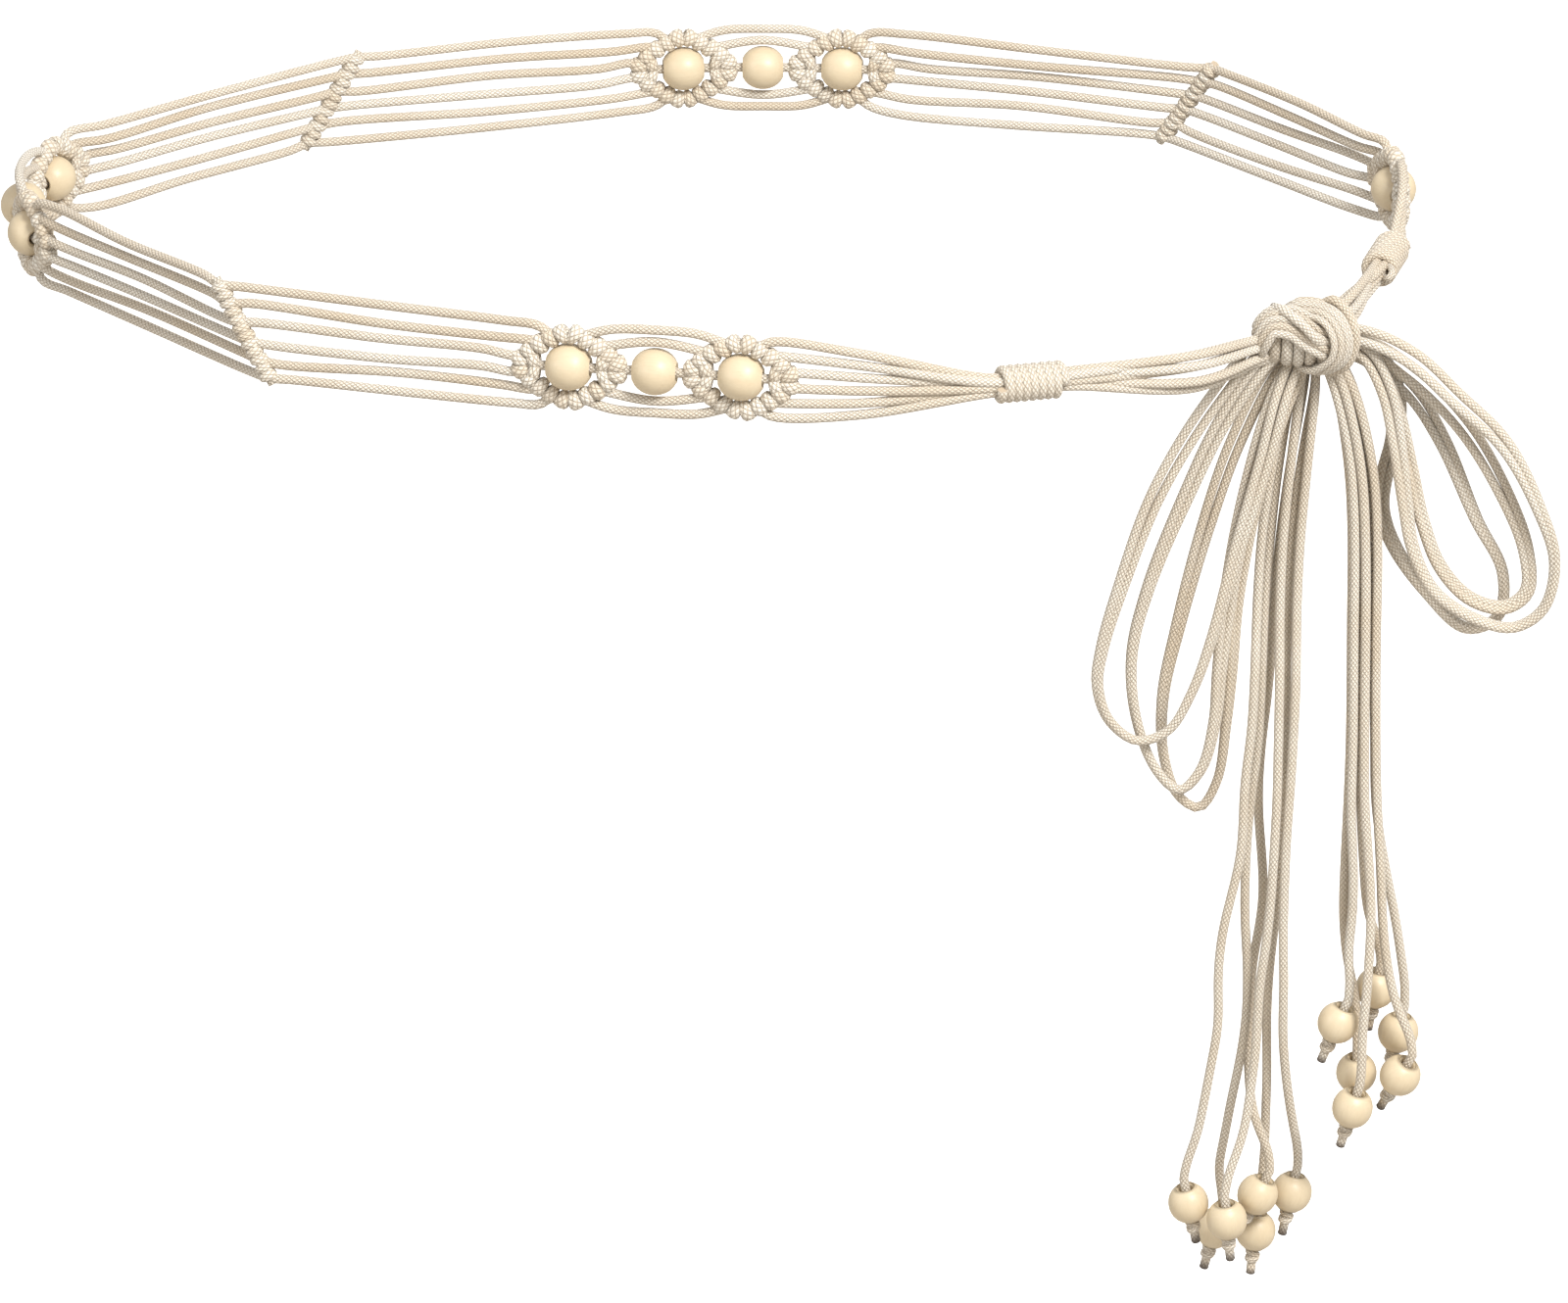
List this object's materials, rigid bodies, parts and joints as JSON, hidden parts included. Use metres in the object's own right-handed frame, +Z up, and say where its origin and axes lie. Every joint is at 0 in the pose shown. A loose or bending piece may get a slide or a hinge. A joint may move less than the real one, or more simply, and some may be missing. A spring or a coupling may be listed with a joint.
{
  "type": "braided belt",
  "caption": "Knotted cord waist belt with wooden beads in diamond knots, slanted knotted bars, and a bow with beaded tails at the right front.",
  "frame": {"origin": "middle of the waist opening, half way up the band", "axes": "+Z up, -Y towards the front of the belt, +X towards the side where the bow is tied"},
  "size_m": [0.4063, 0.2499, 0.2917],
  "materials": {
    "cotton_cord": "matt waxed braided cotton",
    "natural_wood": "smooth satin, unstained"
  },
  "bodies": {
    "root": {"front_motif_net": "cotton_cord", "left_motif_net": "cotton_cord", "back_motif_net": "cotton_cord", "right_flower_net": "cotton_cord", "front_left_ladder": "cotton_cord", "back_left_ladder": "cotton_cord", "back_right_ladder": "cotton_cord", "front_lead": "cotton_cord", "right_lead": "cotton_cord", "front_whipping": "cotton_cord", "right_whipping": "cotton_cord", "bow_knot": "cotton_cord", "bow_loop_left": "cotton_cord", "bow_loop_right": "cotton_cord", "tail_left_bundle": "cotton_cord", "tail_right_bundle": "cotton_cord", "tail_left_cord_1": "cotton_cord", "tail_left_cord_2": "cotton_cord", "tail_left_cord_3": "cotton_cord", "tail_left_cord_4": "cotton_cord", "tail_left_cord_5": "cotton_cord", "tail_left_cord_6": "cotton_cord", "tail_right_cord_1": "cotton_cord", "tail_right_cord_2": "cotton_cord", "tail_right_cord_3": "cotton_cord", "tail_right_cord_4": "cotton_cord", "tail_right_cord_5": "cotton_cord", "tail_right_cord_6": "cotton_cord", "front_motif_bead_1": "natural_wood", "front_motif_bead_2": "natural_wood", "front_motif_bead_3": "natural_wood", "left_motif_bead_1": "natural_wood", "left_motif_bead_2": "natural_wood", "left_motif_bead_3": "natural_wood", "back_motif_bead_1": "natural_wood", "back_motif_bead_2": "natural_wood", "back_motif_bead_3": "natural_wood", "right_flower_bead": "natural_wood", "tail_left_bead_1": "natural_wood", "tail_left_bead_2": "natural_wood", "tail_left_bead_3": "natural_wood", "tail_left_bead_4": "natural_wood", "tail_left_bead_5": "natural_wood", "tail_left_bead_6": "natural_wood", "tail_right_bead_1": "natural_wood", "tail_right_bead_2": "natural_wood", "tail_right_bead_3": "natural_wood", "tail_right_bead_4": "natural_wood", "tail_right_bead_5": "natural_wood", "tail_right_bead_6": "natural_wood"}
  },
  "joints": []
}
